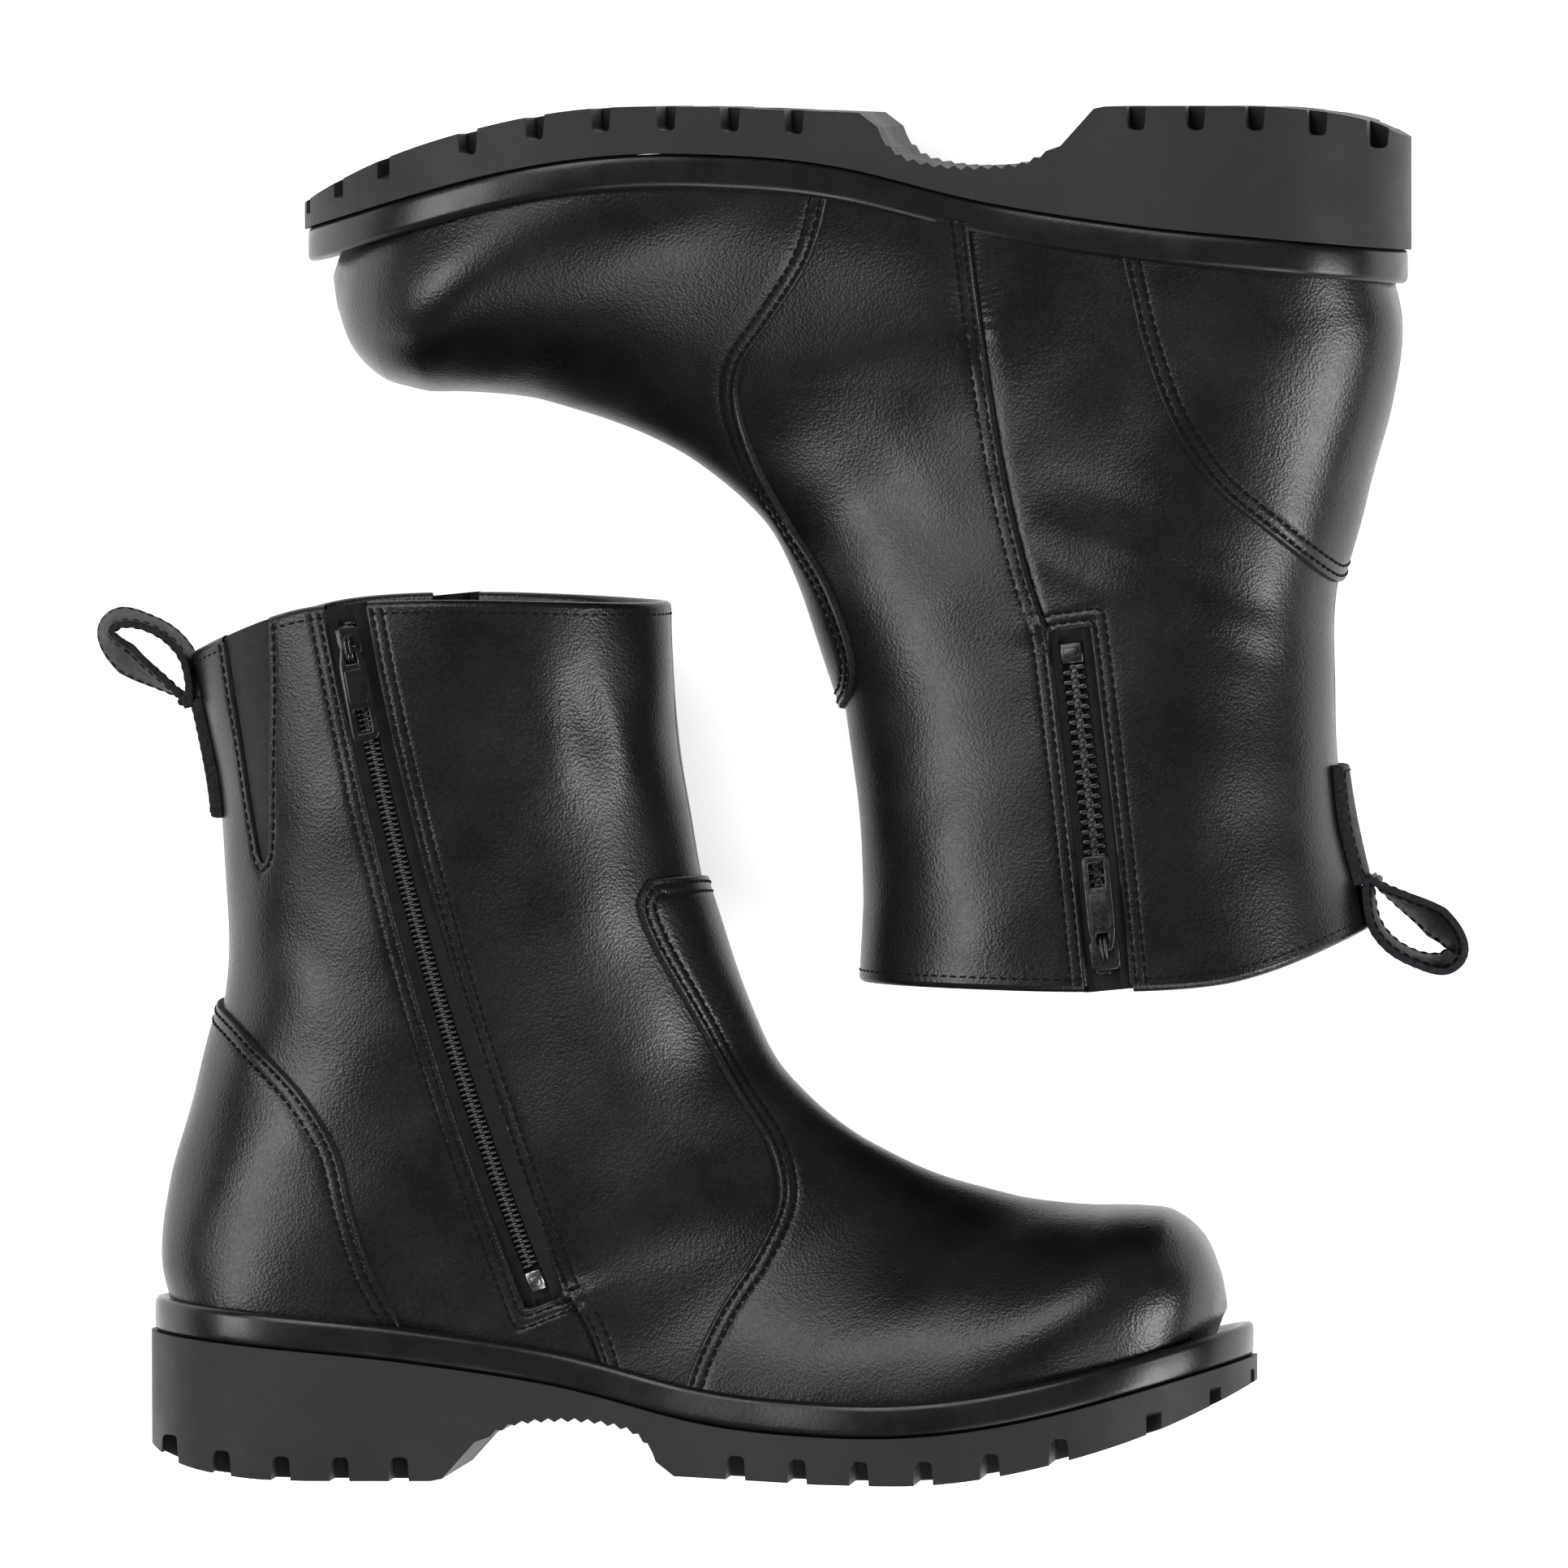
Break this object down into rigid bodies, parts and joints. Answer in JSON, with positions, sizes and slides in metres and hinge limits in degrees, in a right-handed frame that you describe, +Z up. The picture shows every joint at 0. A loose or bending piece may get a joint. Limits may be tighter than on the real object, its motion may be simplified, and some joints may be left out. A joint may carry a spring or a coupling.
{
  "type": "ankle boots",
  "caption": "Pair of black leather ankle boots with side zips, rear pull loops and lugged rubber soles, lying on their sides head to tail.",
  "frame": {"origin": "middle of the pair, on the surface it lies on", "axes": "+Z up from that surface; +X to the left boot's toe and the right boot's heel; +Y from the left boot's sole to its shaft top"},
  "size_m": [0.3724, 0.3742, 0.1104],
  "materials": {
    "leather": "smooth fine-grained black leather, soft sheen",
    "suede": "black elastic textile with a napped face",
    "lining": "dark woven lining",
    "board": "pressed cellulose fibre board",
    "stiffener": "thermoplastic stiffener sheet",
    "rubber": "matt black moulded rubber",
    "steel": "spring steel",
    "silver_metal": "bright nickel plate",
    "tape": "black woven polyester tape",
    "coil": "black nylon coil",
    "gunmetal": "dark gun-metal plating, satin",
    "black_metal": "glossy black lacquered zinc"
  },
  "bodies": {
    "left_boot": {"left_outsole": "rubber", "left_welt": "rubber", "left_shank": "steel", "left_insole_board": "board", "left_footbed": "lining", "left_vamp": "leather", "left_heel_counter": "leather", "left_quarter_front_medial": "leather", "left_quarter_rear_medial": "leather", "left_quarter_front_lateral": "leather", "left_quarter_rear_lateral": "leather", "left_v_gusset": "suede", "left_toe_puff": "stiffener", "left_vamp_interlining": "lining", "left_heel_stiffener": "stiffener", "left_lining": "lining", "left_long_zip_gusset": "suede", "left_short_zip_gusset": "suede", "left_pull_loop_anchor": "leather", "left_long_zip_tape": "tape", "left_long_zip_teeth": "coil", "left_long_zip_bottom_stop": "silver_metal", "left_short_zip_tape": "tape", "left_short_zip_teeth": "gunmetal", "left_short_zip_bottom_stop": "gunmetal"},
    "left_long_zip_slider_body": {"left_long_zip_slider": "black_metal"},
    "left_long_zip_pull_body": {"left_long_zip_pull": "black_metal"},
    "left_short_zip_slider_body": {"left_short_zip_slider": "gunmetal"},
    "left_short_zip_pull_body": {"left_short_zip_pull": "gunmetal"},
    "left_pull_loop_body": {"left_pull_loop": "leather"},
    "right_boot": {"right_outsole": "rubber", "right_welt": "rubber", "right_shank": "steel", "right_insole_board": "board", "right_footbed": "lining", "right_vamp": "leather", "right_heel_counter": "leather", "right_quarter_front_medial": "leather", "right_quarter_rear_medial": "leather", "right_quarter_front_lateral": "leather", "right_quarter_rear_lateral": "leather", "right_v_gusset": "suede", "right_toe_puff": "stiffener", "right_vamp_interlining": "lining", "right_heel_stiffener": "stiffener", "right_lining": "lining", "right_long_zip_gusset": "suede", "right_short_zip_gusset": "suede", "right_pull_loop_anchor": "leather", "right_long_zip_tape": "tape", "right_long_zip_teeth": "coil", "right_long_zip_bottom_stop": "silver_metal", "right_short_zip_tape": "tape", "right_short_zip_teeth": "gunmetal", "right_short_zip_bottom_stop": "gunmetal"},
    "right_long_zip_slider_body": {"right_long_zip_slider": "black_metal"},
    "right_long_zip_pull_body": {"right_long_zip_pull": "black_metal"},
    "right_short_zip_slider_body": {"right_short_zip_slider": "gunmetal"},
    "right_short_zip_pull_body": {"right_short_zip_pull": "gunmetal"},
    "right_pull_loop_body": {"right_pull_loop": "leather"}
  },
  "joints": [
    {"name": "right_boot_lift", "type": "slide", "parent": "left_boot", "child": "right_boot", "axis": [0, 0, 1], "range_m": [0, 0.15]},
    {"name": "left_long_zip_slide", "type": "hinge", "parent": "left_boot", "child": "left_long_zip_slider_body", "pos_m": [0.76984, 0.22464, -0.17191], "axis": [0.2879, 0.0014, 0.9576], "range_deg": [0, 10.29]},
    {"name": "left_long_zip_pull_hinge", "type": "hinge", "parent": "left_long_zip_slider_body", "child": "left_long_zip_pull_body", "pos_m": [-0.11592, 0.0381, 0.09805], "axis": [-0.9685, -0.1773, -0.1748], "range_deg": [0, 170]},
    {"name": "left_short_zip_slide", "type": "hinge", "parent": "left_boot", "child": "left_short_zip_slider_body", "pos_m": [0.08146, 0.05758, 0.74144], "axis": [-0.9696, -0.0977, 0.2243], "range_deg": [0, 5.36]},
    {"name": "left_short_zip_pull_hinge", "type": "hinge", "parent": "left_short_zip_slider_body", "child": "left_short_zip_pull_body", "pos_m": [-0.08693, 0.0424, 0.00173], "axis": [0.9897, 0.099, 0.1033], "range_deg": [0, 170]},
    {"name": "left_pull_loop_hinge", "type": "hinge", "parent": "left_boot", "child": "left_pull_loop_body", "pos_m": [-0.16131, 0.02437, 0.04446], "axis": [-0.0917, -0.0336, 0.9952], "range_deg": [0, 60]},
    {"name": "right_long_zip_slide", "type": "hinge", "parent": "right_boot", "child": "right_long_zip_slider_body", "pos_m": [-0.76984, -0.22464, 0.28228], "axis": [0.2879, 0.0014, 0.9576], "range_deg": [0, 10.29]},
    {"name": "right_long_zip_pull_hinge", "type": "hinge", "parent": "right_long_zip_slider_body", "child": "right_long_zip_pull_body", "pos_m": [0.11592, -0.0381, 0.01232], "axis": [-0.9685, -0.1773, -0.1748], "range_deg": [0, 170]},
    {"name": "right_short_zip_slide", "type": "hinge", "parent": "right_boot", "child": "right_short_zip_slider_body", "pos_m": [-0.08146, -0.05758, -0.63107], "axis": [-0.9696, -0.0977, 0.2243], "range_deg": [0, 5.36]},
    {"name": "right_short_zip_pull_hinge", "type": "hinge", "parent": "right_short_zip_slider_body", "child": "right_short_zip_pull_body", "pos_m": [0.08693, -0.0424, 0.10863], "axis": [0.9897, 0.099, 0.1033], "range_deg": [0, 170]},
    {"name": "right_pull_loop_hinge", "type": "hinge", "parent": "right_boot", "child": "right_pull_loop_body", "pos_m": [0.16131, -0.02437, 0.0659], "axis": [-0.0917, -0.0336, 0.9952], "range_deg": [0, 60]}
  ]
}
